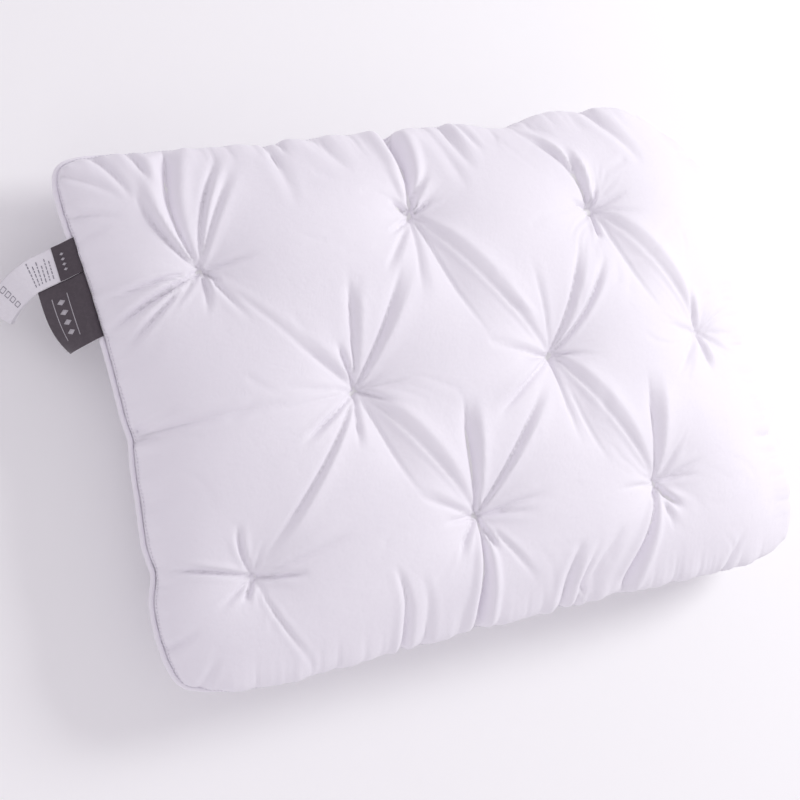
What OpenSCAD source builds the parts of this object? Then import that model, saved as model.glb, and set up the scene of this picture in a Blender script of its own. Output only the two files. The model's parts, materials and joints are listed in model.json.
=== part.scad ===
// Bed pillow with pinch-pleated casing panels, a piped seam and two labels sewn into the seam.
// Millimetres. X runs along the long side, Y along the short side, +Z is up out of the front face.
// The origin is the middle of the flat area that the pillow rests on.

/* [Casing] */
// Length between the corners of the seam, along X
casing_l = 690; // [600:5:760]
// Width between the corners of the seam, along Y
casing_w = 496; // [420:4:560]
// How far the short sides pull in at the middle
side_pull = 16; // [4:1:22]
// How far the long sides pull in at the middle
end_pull = 8; // [2:1:14]
// How much is rounded off each corner
corner_cut = 8; // [4:1:12]
// Height of the seam above the rest face
seam_h = 62; // [54:1:72]
// Rise of the front panel above the seam, between the pinches
front_crown = 78; // [60:1:90]
// Drop of the back panel below the seam before it is flattened by resting
back_crown = 68; // [64:1:78]
// Thickness of the casing cloth with the wadding quilted to it
cloth_t = 1.2; // [0.8:0.1:2]

/* [Pinches] */
// Spacing of the pinches along a row
pinch_pitch = 206; // [180:2:220]
// Spacing of the rows of pinches
row_pitch = 140; // [120:2:150]
// How far each pinch pulls the front panel in
front_pinch_depth = 26; // [10:1:30]
// How far each pinch pulls the back panel in, which the weight of the pillow flattens
back_pinch_depth = 18; // [8:1:24]
// Distance over which the panel falls into a pinch
pinch_reach = 46; // [30:1:60]

/* [Filling] */
// Distance from the casing to the inner case
core_inset = 38; // [34:1:46]
// Thickness of the inner case's cloth
case_t = 0.8; // [0.6:0.1:1.2]

/* [Piping] */
// Radius of the cord in the piping
cord_r = 2; // [1.5:0.1:2.4]
// Thickness of the bias strip round the cord
bias_t = 0.6; // [0.4:0.1:0.8]
// Width of the piping's flange inside the seam
flange_w = 7; // [5:0.5:10]

/* [Labels] */
// Length of the woven label along the seam
brand_label_l = 60; // [40:1:64]
// How far the woven label stands out of the seam
brand_label_out = 36; // [20:1:40]
// Width of the care label along the seam
care_label_w = 31; // [20:1:34]
// Length of the folded care label
care_label_out = 78; // [60:1:84]
// Where the two labels meet, along Y from the middle of the seam
label_y = 147; // [130:1:160]
// How far the labels droop below the plane of the seam, in degrees
label_droop = 15; // [5:1:25]
// How far the labels lean towards the middle of the side, in degrees
label_lean = 10; // [0:1:12]

/* [Hidden] */

front = 1;
back = -1;
cover_cells = [34, 24];
filling_cells = [20, 14];
filling_depth = 3.6;     // from the outside of the casing to the filling, with its coarser facets
filling_pinched = 1.3;
corner_power = 24;       // how suddenly the outline turns in at a corner
rim_gap = 0.8;           // half the space between the panels, which holds the piping's flange
layer_gap = 0.3;         // space between one layer and the next
flange_t = 1;
slit = 0.12;             // space between the two plies of the flange
pipe_r = cord_r + layer_gap + bias_t;
pipe_out = pipe_r + 0.5; // from the edge of the panels to the middle of the piping
thread_r = 0.4;
tack_r = 1.1;
tack_l = 7;
seam_tack_inset = 7;
seam_tack_rise = 24;
closing_l = 210;
label_gap = 1.5;         // from the piping to the line that the labels turn about
label_space = 0.8;       // between the two labels
care_straight = 38;      // the care label runs straight this far, beside the woven label
care_bend = 35;          // then bends this many degrees
pinch_columns = [0, 1, 2];
outer_row_x = -246;
middle_row_x = -128;
// Hand sewing puts each pinch a little off its mark: top row, middle row, bottom row
pinch_offsets = [
    [2, -12], [8, 10], [-2, -8],
    [0, -2], [0, -2], [-20, -4],
    [-8, -6], [6, 4], [2, -2],
];
cloth_white = [0.94, 0.93, 0.96];
filling_white = [0.98, 0.98, 0.97];
ticking_white = [0.9, 0.9, 0.88];
thread_white = [0.86, 0.84, 0.89];
label_grey = [0.3, 0.26, 0.29];
label_white = [0.93, 0.92, 0.96];

function total(v) = v * [for (x = v) 1];

// ---- Outline of the seam, from s and t, which run from -1 to 1 across the casing ----

function spread(i, cells) = let (u = 2 * i / cells - 1) (u + sin(90 * u)) / 2;

function half_x(t) =
    casing_l / 2 - side_pull * pow(1 - t * t, 2) - corner_cut * pow(abs(t), corner_power);

function half_y(s) =
    casing_w / 2 - end_pull * (1 - s * s) - corner_cut * pow(abs(s), corner_power);

function plan(s, t, inset = 0) = [
    s * half_x(t) * (1 - 2 * inset / casing_l),
    t * half_y(s) * (1 - 2 * inset / casing_w),
];

// ---- Pinches ----

function regular_pinch(row, column) =
    [(row == 0 ? middle_row_x : outer_row_x) + column * pinch_pitch, row * row_pitch];

regular_pinches = [for (row = [1, 0, -1], column = pinch_columns) regular_pinch(row, column)];
front_pinches = [for (k = [0 : len(regular_pinches) - 1]) regular_pinches[k] + pinch_offsets[k]];
back_pinches = regular_pinches;

function pinches(side) = side == front ? front_pinches : back_pinches;

function pull_in(p, side) =
    (side == front ? front_pinch_depth : back_pinch_depth)
    * total([for (q = pinches(side)) exp(-pow(norm(p - q) / pinch_reach, 2))]);

// ---- Panels: crowned over the plan, pulled in at the pinches, level at the seam ----

// The layers inside the back panel that don't follow its pinches stop short of the rest face
function crown(side, pinched) =
    side == front ? front_crown : pinched > 0 ? back_crown : seam_h - rim_gap;

function dome(s, t) = sqrt(max(0, (1 - pow(s, 4)) * (1 - pow(t, 4))));

// pinched is how strongly this depth follows the pinches: 0 is not at all
function rise(p, s, t, side, depth, pinched) =
    dome(s, t) * (crown(side, pinched) - depth - pinched * pull_in(p, side));

function panel_point(s, t, side, inset, depth, pinched) =
    let (p = plan(s, t, inset), z = seam_h + side * (rim_gap + rise(p, s, t, side, depth, pinched)))
    [p.x, p.y, max(z, depth)];

function panel_grid(cells, side, inset, depth, pinched) = [
    for (j = [0 : cells.y], i = [0 : cells.x])
        panel_point(spread(i, cells.x), spread(j, cells.y), side, inset, depth, pinched)
];

// ---- Solids between an upper and a lower surface on the same grid ----

function quad(a, b, c, d) = [[a, b, c], [a, c, d]];

function sheet_faces(cells, first, up) = [
    for (j = [0 : cells.y - 1], i = [0 : cells.x - 1])
        let (row = cells.x + 1, a = first + j * row + i, b = a + 1, c = b + row, d = a + row)
        each (up ? quad(a, d, c, b) : quad(a, b, c, d))
];

function rim_indices(cells) =
    let (row = cells.x + 1, last = cells.y * row)
    concat(
        [for (i = [0 : cells.x - 1]) i],
        [for (j = [0 : cells.y - 1]) j * row + cells.x],
        [for (i = [cells.x : -1 : 1]) last + i],
        [for (j = [cells.y : -1 : 1]) j * row]
    );

function wall_faces(rim, lower_first) = [
    for (k = [0 : len(rim) - 1])
        let (a = rim[k], b = rim[(k + 1) % len(rim)])
        each quad(a, b, b + lower_first, a + lower_first)
];

module between(cells, upper, lower) {
    count = len(upper);
    polyhedron(
        points = concat(upper, lower),
        faces = concat(
            wall_faces(rim_indices(cells), count),
            sheet_faces(cells, 0, true),
            sheet_faces(cells, count, false)
        )
    );
}

// A layer of the pillow's front or back half, from one depth below the casing to another
module layer(side, cells, outer_depth, inner_depth, outer_pinched = 0, inner_pinched = 0) {
    outer = panel_grid(cells, side, outer_depth, outer_depth, outer_pinched);
    inner = panel_grid(cells, side, inner_depth, inner_depth, inner_pinched);
    if (side == front)
        between(cells, outer, inner);
    else
        between(cells, inner, outer);
}

// ---- Runs along the seam ----

function rim_plan(cells) = concat(
    [for (i = [0 : cells.x - 1]) plan(spread(i, cells.x), -1)],
    [for (j = [0 : cells.y - 1]) plan(1, spread(j, cells.y))],
    [for (i = [cells.x : -1 : 1]) plan(spread(i, cells.x), 1)],
    [for (j = [cells.y : -1 : 1]) plan(-1, spread(j, cells.y))]
);

seam_line = rim_plan(cover_cells);
seam_count = len(seam_line);

function outward(k) =
    let (d = seam_line[(k + 1) % seam_count] - seam_line[(k + seam_count - 1) % seam_count])
    [d.y, -d.x] / norm(d);

// Profile points are [distance out from the panels' edge, height above the seam]
function seam_section(k, profile) =
    let (p = seam_line[k % seam_count], n = outward(k % seam_count))
    [for (q = profile) [p.x + n.x * q.x, p.y + n.y * q.x, seam_h + q.y]];

function skin_faces(sections, sides, closed) = [
    for (k = [0 : sections - (closed ? 1 : 2)], m = [0 : sides - 1])
        let (this = k * sides, next = (k + 1) % sections * sides, n = (m + 1) % sides)
        each quad(this + m, next + m, next + n, this + n)
];

module seam_ring(profile) {
    polyhedron(
        points = [for (k = [0 : seam_count - 1]) each seam_section(k, profile)],
        faces = skin_faces(seam_count, len(profile), true)
    );
}

module seam_run(profile, first, last) {
    sides = len(profile);
    sections = last - first + 1;
    polyhedron(
        points = [for (k = [first : last]) each seam_section(k, profile)],
        faces = concat(
            skin_faces(sections, sides, false),
            [[for (m = [0 : sides - 1]) m]],
            [[for (m = [sides - 1 : -1 : 0]) (sections - 1) * sides + m]]
        )
    );
}

function arc_profile(centre, r, from, to, steps) = [
    for (m = [0 : steps]) let (a = from + (to - from) * m / steps) centre + r * [cos(a), sin(a)]
];

function round_profile(centre, r, sides) = [
    for (m = [0 : sides - 1]) centre + r * [cos(360 * m / sides), sin(360 * m / sides)]
];

// ---- Sub-parts ----

module front_cover() {
    color(cloth_white)
    layer(front, cover_cells, 0, cloth_t, 1, 1);
}

module back_cover() {
    color(cloth_white)
    layer(back, cover_cells, 0, cloth_t, 1, 1);
}

// Bias strip folded round the cord, with both its plies caught between the panels
module piping_cover() {
    centre = [pipe_out, 0];
    outer_turn = asin(flange_t / 2 / pipe_r);
    inner_r = cord_r + layer_gap;
    inner_turn = asin(slit / 2 / inner_r);
    color(cloth_white)
    seam_ring(concat(
        [[-flange_w, flange_t / 2]],
        arc_profile(centre, pipe_r, 180 - outer_turn, outer_turn - 180, 7),
        [[-flange_w, -flange_t / 2], [-flange_w, -slit / 2]],
        arc_profile(centre, inner_r, inner_turn - 180, 180 - inner_turn, 6),
        [[-flange_w, slit / 2]]
    ));
}

module piping_cord() {
    color(filling_white)
    seam_ring(round_profile([pipe_out, 0], -cord_r, 6));
}

// The lockstitch lies in the groove between the piping and the front panel
module seam_thread() {
    color(thread_white)
    seam_ring(round_profile([thread_r + 0.05, rim_gap + 2 * thread_r + 0.1], -thread_r, 4));
}

// The hand-sewn stretch that closes the casing, on the back of the near long side
module closing_thread() {
    run = [
        for (k = [0 : cover_cells.x - 1])
            if (abs(seam_line[k].x) <= closing_l / 2) k
    ];
    color(thread_white)
    seam_run(
        round_profile([thread_r + 0.05, -rim_gap - 2 * thread_r - 0.1], -thread_r, 4),
        run[0], run[len(run) - 1]
    );
}

// A tack is a short bar of thread that lies along Y across the bottom of a pinch
module tack(p, z) {
    translate([p.x, p.y, z])
    rotate([90, 0, 0])
    cylinder(h = tack_l, r = tack_r, center = true, $fn = 24);
}

// Height of a panel over one of its pinches
function pinch_z(p, side) =
    let (s = p.x / (casing_l / 2 - side_pull), t = p.y / (casing_w / 2 - end_pull))
    seam_h + side * (rim_gap + rise(p, s, t, side, 0, 1));

module tacks(side) {
    for (p = pinches(side))
        tack(p, pinch_z(p, side));
}

module front_tack_threads() {
    color(thread_white) {
        tacks(front);
        // The last pinch of the middle row is caught at the seam itself
        tack([seam_tack_inset - half_x(0), 0], seam_h + seam_tack_rise);
    }
}

module back_tack_threads() {
    color(thread_white)
    tacks(back);
}

module front_filling() {
    color(filling_white)
    layer(front, filling_cells, filling_depth, core_inset, filling_pinched);
}

module back_filling() {
    color(filling_white)
    layer(back, filling_cells, filling_depth, core_inset, filling_pinched);
}

module core_case(side) {
    inner = core_inset + layer_gap;
    layer(side, filling_cells, inner, inner + case_t);
}

module core_case_front() {
    color(ticking_white)
    core_case(front);
}

module core_case_back() {
    color(ticking_white)
    core_case(back);
}

module core_filling() {
    depth = core_inset + case_t + 2 * layer_gap;
    color(filling_white)
    between(
        filling_cells,
        panel_grid(filling_cells, front, depth, depth, 0),
        panel_grid(filling_cells, back, depth, depth, 0)
    );
}

// ---- Labels, laid out from the line that they turn about, which runs along the seam ----

label_low_y = label_y - brand_label_l;
label_high_y = label_y + care_label_w;
function side_x(y) = -half_x(2 * y / casing_w);
label_turn = atan2(side_x(label_low_y) - side_x(label_high_y), label_high_y - label_low_y);
hinge_x = side_x(label_y) - pipe_out - pipe_r - label_gap;
hinge_z = seam_h - 1;

module at_hinge() {
    translate([hinge_x, label_y, hinge_z])
    rotate([0, 0, label_turn])
    rotate([0, -label_droop, 0])
    children();
}

// The fold that a label turns about, between two distances along the seam
module label_fold(ply_t, low, high) {
    translate([0, high, 0])
    rotate([90, 0, 0])
    cylinder(h = high - low, d = ply_t, $fn = 24);
}

// A strip leaning by label_lean: across is measured along the seam
function leaned(out, across) = [-out * cos(label_lean), across - out * sin(label_lean)];

module brand_label() {
    ply_t = 1;
    low = -brand_label_l;
    high = -label_space / 2;
    color(label_grey)
    at_hinge() {
        label_fold(ply_t, low, high);
        translate([0, 0, -ply_t / 2])
        linear_extrude(ply_t)
        polygon([leaned(0, high), leaned(0, low), leaned(brand_label_out, low), leaned(brand_label_out, high)]);
    }
}

// Straight beside the woven label, then bending further down the side
function care_point(along, across) =
    let (
        bend_l = care_label_out - care_straight,
        r = bend_l / (care_bend * PI / 180),
        a = care_bend * max(0, along - care_straight) / bend_l,
        out = min(along, care_straight) + (r + across) * sin(a),
        over = (r + across) * cos(a) - r
    )
    leaned(out, over);

module care_label() {
    ply_t = 1.4;
    low = label_space / 2;
    high = care_label_w;
    steps = [0 : 6];
    bend_l = care_label_out - care_straight;
    low_edge = [for (m = steps) care_point(care_straight + bend_l * m / 6, low)];
    high_edge = [for (m = steps) care_point(care_straight + bend_l * (6 - m) / 6, high)];
    color(label_white)
    at_hinge() {
        label_fold(ply_t, low, high);
        translate([0, 0, -ply_t / 2])
        linear_extrude(ply_t)
        polygon(concat([care_point(0, low)], low_edge, high_edge, [care_point(0, high)]));
    }
}

front_cover();
back_cover();
piping_cover();
piping_cord();
seam_thread();
closing_thread();
front_tack_threads();
back_tack_threads();
front_filling();
back_filling();
core_case_front();
core_case_back();
core_filling();
brand_label();
care_label();
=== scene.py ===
"""Bed pillow with pinch-pleated casing panels, a piped seam and two labels in one end seam.

The CAD frame gives the outline, the seam's height, the pinches and the labels' hinge line. Cloth shapes
are worked out here in millimetres, and every mesh is made in metres.
"""
import json
import math

import bpy
import numpy as np
from mathutils import Matrix, Vector


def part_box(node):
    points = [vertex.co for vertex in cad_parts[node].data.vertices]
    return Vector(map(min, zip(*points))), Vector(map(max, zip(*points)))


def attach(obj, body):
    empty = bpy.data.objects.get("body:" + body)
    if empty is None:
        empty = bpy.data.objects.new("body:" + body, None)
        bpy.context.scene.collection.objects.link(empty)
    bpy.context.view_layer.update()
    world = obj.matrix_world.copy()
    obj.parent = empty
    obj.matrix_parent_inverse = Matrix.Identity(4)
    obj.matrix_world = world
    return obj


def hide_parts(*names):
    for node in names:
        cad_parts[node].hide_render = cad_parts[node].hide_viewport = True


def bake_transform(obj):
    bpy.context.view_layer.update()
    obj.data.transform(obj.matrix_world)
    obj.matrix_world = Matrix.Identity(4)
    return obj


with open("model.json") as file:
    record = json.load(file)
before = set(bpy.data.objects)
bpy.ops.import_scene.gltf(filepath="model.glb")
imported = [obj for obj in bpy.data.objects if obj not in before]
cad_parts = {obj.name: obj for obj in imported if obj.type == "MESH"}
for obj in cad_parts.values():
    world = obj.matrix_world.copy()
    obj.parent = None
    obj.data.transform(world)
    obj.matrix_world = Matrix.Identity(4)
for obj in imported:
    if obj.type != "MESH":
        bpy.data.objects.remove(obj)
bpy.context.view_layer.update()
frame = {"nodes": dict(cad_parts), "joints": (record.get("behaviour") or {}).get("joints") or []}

MM = 0.001
FRONT, BACK = 1, -1


def add_object(name, data):
    thing = bpy.data.objects.new(name, data)
    bpy.context.scene.collection.objects.link(thing)
    return thing


def box_mm(node):
    low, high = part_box(node)
    return np.array(low) / MM, np.array(high) / MM


# ---------------- measures from the frame

_, cover_high = box_mm("front_cover")
piping_low, piping_high = box_mm("piping_cover")
CORNER_CUT = 8.0  # rounded off each corner of the seam
CORNER_ROUND = 1.2  # what the rounding takes from the panels' own box on each side
HALF_L = cover_high[0] + CORNER_ROUND
HALF_W = cover_high[1] + CORNER_ROUND + 1.0
SEAM_Z = (piping_low[2] + piping_high[2]) / 2
PIPE_R = (piping_high[2] - piping_low[2]) / 2
SIDE_PULL = 16.0  # how far the short sides pull in at the middle
END_PULL = 8.0  # how far the long sides pull in at the middle
ROW_SPACING = 140  # between rows of pinches, roughly
CROWN = cover_high[2] - SEAM_Z


def loose_centres(node):
    """The middle of each separate solid in a CAD node, in millimetres."""
    mesh = frame["nodes"][node].data
    parent = list(range(len(mesh.vertices)))

    def root(i):
        while parent[i] != i:
            parent[i] = parent[parent[i]]
            i = parent[i]
        return i

    places = {}
    for v in mesh.vertices:
        key = tuple(round(c, 6) for c in v.co)
        first = places.setdefault(key, v.index)
        parent[root(v.index)] = root(first)
    for e in mesh.edges:
        parent[root(e.vertices[0])] = root(e.vertices[1])
    groups = {}
    for v in mesh.vertices:
        groups.setdefault(root(v.index), []).append(np.array(v.co))
    return [(np.min(g, 0) + np.max(g, 0)) / 2 / MM for g in groups.values()]


def in_rows(centres):
    """Pinches row by row from the top, each row from left to right."""
    ordered = sorted(centres, key=lambda c: (-round(c[1] / ROW_SPACING), c[0]))
    return [(c[0], c[1]) for c in ordered]


front_centres = loose_centres("front_tack_threads")
seam_tack = min(front_centres, key=lambda c: c[0])
FRONT_PINCHES = in_rows([c for c in front_centres if c[0] != seam_tack[0]])
BACK_PINCHES = in_rows(loose_centres("back_tack_threads"))


# ---------------- outline of the seam

def half_x(t):
    return HALF_L - SIDE_PULL * (1 - t * t) ** 2 - CORNER_CUT * np.abs(t) ** 24


def half_y(s):
    return HALF_W - END_PULL * (1 - s * s) - CORNER_CUT * np.abs(s) ** 24


def bump(x, centre, width):
    return np.exp(-((x - centre) / width) ** 2)


# Gathers in the sewn edge, by side: where along it, how deep, how wide
TOP_GATHERS = [(-24, 7, 16), (104, 11, 34), (-150, 4, 20), (200, 4, 18)]
LOW_GATHERS = [(-44, 4, 14), (112, 4, 16), (-124, 3, 12), (50, 2.5, 12)]
LEFT_GATHERS = [(-6, 3, 14), (-126, 6, 16)]
RIGHT_GATHERS = [(-124, 9, 16), (-24, 6, 14), (112, 7, 16)]
SIDE_TAKE_UP = 5  # how far the near and right sides are drawn in all along


def gathered(run, gathers):
    return sum(depth * bump(run, at, width) for at, depth, width in gathers)


def seam_pucker(x, y, s, t):
    """How far the sewn edge is gathered inwards where a deep fold runs into it, as (dx, dy)."""
    top = (t > 0) * np.abs(t) ** 10
    low = (t < 0) * np.abs(t) ** 10
    left = (s < 0) * np.abs(s) ** 10
    right = (s > 0) * np.abs(s) ** 10
    dy = -top * gathered(x, TOP_GATHERS)
    dy = dy + low * gathered(x, LOW_GATHERS)
    dx = left * gathered(y, LEFT_GATHERS) - right * gathered(y, RIGHT_GATHERS)
    return dx - SIDE_TAKE_UP * right, dy + SIDE_TAKE_UP * low


# Corners that are drawn in or pushed out: where, how far round, by how much
CORNER_PULLS = [
    (-345, -250, 62, 13, 11), (345, 250, 72, -34, -24),
    (-345, 250, 60, -4, 4), (340, -250, 40, 2, 4),
]


def corner_pull(x, y):
    dx, dy = np.zeros_like(x), np.zeros_like(y)
    for cx, cy, reach, by_x, by_y in CORNER_PULLS:
        near = np.exp(-((x - cx) ** 2 + (y - cy) ** 2) / reach ** 2)
        dx += by_x * near
        dy += by_y * near
    return dx, dy


OVERHANG_INSET = 6  # how far inside the seam the cloth swells out most


def swelling(inset):
    return inset / OVERHANG_INSET * np.exp(1 - inset / OVERHANG_INSET)


def overhang(s, t):
    """Where the filling swells the cloth out over the seam, as (dx, dy): least on the labels' side."""
    inset_x, inset_y = (1 - np.abs(s)) * HALF_L, (1 - np.abs(t)) * HALF_W
    level_x = np.where(s > 0, 19.0 - 4.0 * t, 2.0) * (1 - np.abs(t) ** 10)
    level_y = np.where(t < 0, 10.0, 7.0) * (1 - np.abs(s) ** 10)
    return np.sign(s) * level_x * swelling(inset_x), np.sign(t) * level_y * swelling(inset_y)


def seam_height(x, y):
    """The sewn edge dips a little at the far corners and rises and falls along the sides."""
    far_end = np.clip((x / HALF_L - 0.55) / 0.45, 0, 1)
    far_corner = far_end * np.clip((np.abs(y) / HALF_W - 0.5) / 0.5, 0, 1)
    return SEAM_Z - 14 * far_corner ** 1.5 + 1.0 * np.sin(x / 57) * np.sin(y / 71 + 0.7)


def plan(s, t):
    """A panel's place on the plan, from grid coordinates that run from -1 to 1."""
    x, y = s * half_x(t), t * half_y(s)
    dx, dy = seam_pucker(x, y, s, t)
    in_x, in_y = corner_pull(x, y)
    return x + dx + in_x, y + dy + in_y


# ---------------- folds in the casing

NEAR, MID, FAR = 0.3, 0.55, 0.85  # how far along a fold is deepest
PINCH_WIDTH = 1.2  # a fold's half width where it starts at a pinch

# Each fold runs from a pinch by (dx, dy) and bows to its left by bow. Then come its half width at the
# far end, its depth, and how far along it is deepest, which is MID where nothing is said.
FOLDS = [
    # top left
    [(-40, 90, 9, 6, 7), (2, 116, 18, 8, 9, FAR), (56, 110, 13, 5, 6), (62, 98, 6, 6, 4),
     (-92, -14, -3, 3.2, 3.6), (-96, -46, -5, 3.6, 4.4), (-60, -28, -2, 2.8, 3), (-88, -70, -5, 3, 2.8),
     (-45, -38, 0, 2.5, 2, NEAR), (50, 6, 0, 4, 1.6, NEAR), (14, -15, 0, 2, 3),
     (-6, -44, 3, 5, 4.5, NEAR), (96, -112, 0, 7, 1.2), (30, -60, 0, 4, 1.5, NEAR)],
    # top middle
    [(8, 88, -1, 8, 15, FAR), (27, 39, 2, 5, 6), (22, 13, 0, 2.5, 3), (-22, 17, 0, 3, 3),
     (-36, -18, 0, 2.5, 2.5, NEAR), (-50, -58, 0, 6, 3), (-16, -90, 0, 8, 2.5), (-8, 60, 0, 2.5, 2)],
    # top right
    [(-16, 72, -3, 6, 9), (-62, 94, -13, 5, 7), (9, 20, 0, 2.5, 3), (-27, 12, 0, 3, 3, NEAR),
     (-3, -32, 0, 3, 4), (60, -10, 0, 4, 1.5, NEAR), (42, 14, 0, 4, 1.5, NEAR)],
    # middle left
    [(16, 112, 2, 8, 5.5), (74, 110, -2, 9, 6.5), (-17, 48, 0, 3.5, 3), (-55, 60, 0, 9, 3.5),
     (-90, 18, 0, 6, 2, NEAR), (-100, -5, 0, 5, 2, NEAR), (-72, -42, 0, 3, 3.6),
     (-122, -141, 3, 5, 5.5), (-12, -58, -2, 5, 4), (46, -30, 0, 4, 2, NEAR), (50, 3, 0, 5, 1.5, NEAR)],
    # middle
    [(60, 108, -3, 7, 5.5), (82, 92, -6, 4, 3.5), (-6, 100, 0, 6, 1.6), (-76, 24, 0, 7, 4, NEAR),
     (-50, 1, 0, 3, 2.5, NEAR), (-92, -52, -3, 7, 6), (10, -98, -3, 7, 3), (38, -6, 0, 3, 2, NEAR)],
    # middle right
    [(3, -42, 0, 5, 5.5), (-46, -45, 0, 9, 3), (-55, 18, 0, 6, 2, NEAR), (50, -3, 0, 6, 2, NEAR),
     (42, 25, 0, 5, 2, NEAR), (45, -30, 0, 5, 2, NEAR), (-9, 48, 0, 5, 4.5)],
    # bottom left
    [(-74, 23, 0, 3, 4), (-8, 50, 5, 3, 3.2), (94, 26, 0, 8, 3), (46, -6, -2, 3, 3.6),
     (-14, -20, 0, 3, 4), (50, -90, -9, 2.4, 1.2), (-40, -22, 0, 3, 1.5)],
    # bottom middle
    [(8, 116, 2, 10, 11), (100, 112, 0, 6, 7), (-48, 0, 0, 3, 2.5, NEAR), (-66, 34, 0, 7, 3.5),
     (-28, -38, -3, 5, 5), (-10, -100, 2, 6, 13, FAR), (11, -38, 0, 3, 4), (74, 8, 0, 4, 3, NEAR),
     (62, -6, 0, 4, 2.5, NEAR), (60, -78, 0, 5, 2)],
    # bottom right
    [(14, 112, 0, 12, 8), (33, 32, 0, 5, 2.5), (54, 13, 0, 4, 2.5, NEAR), (50, 1, 0, 3.5, 2.5, NEAR),
     (23, -30, -3, 4, 5), (14, -50, 0, 6, 3), (-53, -90, 6, 6, 11, FAR), (-62, 6, 0, 5, 2, NEAR),
     (-12, -18, 0, 2.5, 3)],
]

# A pleat is a sharp ridge between two pinches: from, to, bow
PLEATS = [(1, 4, -6), (3, 7, -3), (4, 8, -4), (2, 5, 3)]
WEDGE_SPREAD = 0.36  # how fast a pleat's lower face widens along its length
CREST_WIDTH = 1.8  # from a pleat's crest to where its upper band starts to rise

# Folds that start at the seam: x, y, dx, dy, bow, half width, depth
SEAM_FOLDS = [
    (-152, 244, 2, -36, 0, 4, 3.2), (-138, 250, 1, -28, 0, 3, 2.4), (-108, 246, 24, -48, 0, 8, 3.6),
    (36, 240, 4, -54, -3, 7, 6), (18, 232, 8, -66, 0, 7, 3), (50, 236, 10, -32, 0, 4, 3.5),
    (200, 236, 36, -64, 3, 7, 5.5), (100, 232, 46, -16, 0, 9, 4), (-150, 215, 0, -45, 0, 6, 2),
    (-126, -240, -6, 76, -7, 4, 7), (-104, -240, -4, 66, -6, 5, 3), (48, -238, 19, 58, 3, 6, 8),
    (66, -226, 22, 44, 2, 4, 4), (78, -216, 36, 40, 0, 8, 4.5), (246, -234, 22, 22, 0, 4, 4),
    (350, -126, -50, 8, 0, 6, 7), (350, -23, -28, 0, 0, 6, 6), (-334, -4, 130, 2, 0, 5, 5),
    (-334, -6, 60, -12, 0, 3, 3), (-334, -2, 46, 16, 0, 3, 2.5), (-342, 196, 38, -10, 2, 3.5, 3.5),
    (-332, 230, 34, -28, 2, 3.5, 3), (-312, 244, 22, -44, 3, 4, 4), (-282, 246, 14, -50, 3, 4.5, 4.5),
    (-345, 170, 30, 12, 0, 4, 2), (-340, -195, 30, 14, 0, 4, 4), (-322, -238, 26, 30, 0, 4, 4),
]


def along_and_across(x, y, start, dx, dy, bow):
    """How far along a fold each point is, from 0 to 1, and how far to its left, in millimetres."""
    length = math.hypot(dx, dy)
    ex, ey = dx / length, dy / length
    u = ((x - start[0]) * ex + (y - start[1]) * ey) / length
    v = (y - start[1]) * ex - (x - start[0]) * ey - 4 * bow * u * (1 - u)
    return u, v


def polar(reach, angle):
    return reach * math.cos(angle), reach * math.sin(angle)


def valley_section(v, width):
    """A plain crease with a low ridge on each side."""
    k = np.abs(v) / width
    return 0.35 * np.exp(-(k - 2.1) ** 2) - np.exp(-k ** 1.35)


STEP_WIDTH = 4.5  # folds at least this wide lie over as steps
FACE_TOWARDS = (0.8, 0.6)  # the side that the steps rise to
CREASE_AT, CREST_AT = -0.8, 0.9  # across a step, in half widths
CREASE_DEPTH, CREST_HEIGHT = 0.8, 0.55
STEP_RISE, STEP_SPAN = 1.35, 1.7  # from the crease to the crest, up and across


def step_section(v, width):
    """A wide fold lying over: a crease, a face that rises towards +v, and a crest."""
    k = v / width
    before = -CREASE_DEPTH * np.exp(np.minimum(k - CREASE_AT, 0) / 0.55)
    face = -CREASE_DEPTH + STEP_RISE * (k - CREASE_AT) / STEP_SPAN
    after = CREST_HEIGHT * np.exp(-np.maximum(k - CREST_AT, 0) / 1.6)
    return np.where(k < CREASE_AT, before, np.where(k < CREST_AT, face, after))


def fold_section(v, width, far_width, dx, dy):
    if far_width < STEP_WIDTH:
        return valley_section(v, width)
    rises_left = -dy * FACE_TOWARDS[0] + dx * FACE_TOWARDS[1] > 0
    return step_section(v if rises_left else -v, width)


def pinch_fold(x, y, pinch, dx, dy, bow, width, depth, deepest):
    u, v = along_and_across(x, y, pinch, dx, dy, bow)
    rising = 0.35 + 0.65 * np.sin(np.clip(u / deepest, 0, 1) * math.pi / 2)
    falling = 0.5 - 0.5 * np.cos(np.clip((1 - u) / (1 - deepest), 0, 1) * math.pi)
    strength = np.where(u < deepest, rising, falling) * ((u > 0) & (u < 1))
    fanned = PINCH_WIDTH + (width - PINCH_WIDTH) * np.clip(u, 0, 1) ** 0.8
    if deepest == FAR:
        return strength * depth * valley_section(v, fanned)
    return strength * depth * fold_section(v, fanned, width, dx, dy)


def seam_fold(x, y, x0, y0, dx, dy, bow, width, depth):
    u, v = along_and_across(x, y, (x0, y0), dx, dy, bow)
    inside = np.clip(u, 0, 1)
    strength = np.clip(1 - inside, 0, 1) ** 0.7 * ((u > -0.2) & (u < 1))
    return strength * depth * valley_section(v, width * (1 - 0.35 * inside))


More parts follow.
